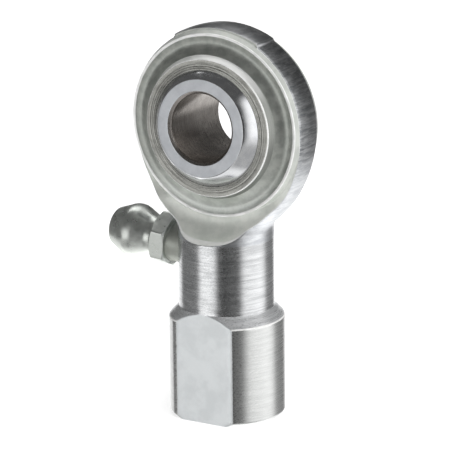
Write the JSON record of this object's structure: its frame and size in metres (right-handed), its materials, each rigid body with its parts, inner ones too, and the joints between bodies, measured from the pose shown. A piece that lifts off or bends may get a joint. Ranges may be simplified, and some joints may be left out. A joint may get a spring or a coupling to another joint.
{
  "type": "rod end bearing",
  "caption": "Female rod end: a ball with a through bore swivels in a race staked into a forged head, with a tapped shank, wrench flats and a side grease fitting.",
  "frame": {"origin": "centre of the ball's sphere, on the axis of its bore and of the shank", "axes": "-Z down the shank to its tapped end, +Y through the bore when the ball sits square, -X the way the grease fitting points"},
  "size_m": [0.0263, 0.0118, 0.0463],
  "materials": {
    "body_zinc": "zinc plated low carbon steel, turned neck and boss, forged web",
    "race_steel": "zinc plated alloy steel, fine turned",
    "ball_chrome": "chromed bearing steel, polished sphere and satin faces",
    "fitting_zinc": "bright zinc plated steel",
    "check_ball_steel": "polished hardened steel",
    "spring_wire": "drawn music wire"
  },
  "bodies": {
    "root": {"body": "body_zinc", "race": "race_steel", "grease_fitting": "fitting_zinc", "check_spring": "spring_wire"},
    "ball": {"ball": "ball_chrome"},
    "check": {"check_ball": "check_ball_steel"}
  },
  "joints": [
    {"name": "ball_tilt", "type": "hinge", "parent": "root", "child": "ball", "pos_m": [0, 0, 0], "axis": [1, 0, 0], "range_deg": [-9.5, 16.5]},
    {"name": "check_ball_slide", "type": "slide", "parent": "root", "child": "check", "axis": [0.9962, 0, -0.0872], "range_m": [0, 0.0008], "stiffness_N_per_m": 200, "springref_m": -0.0005, "deforming": ["check_spring"]}
  ]
}
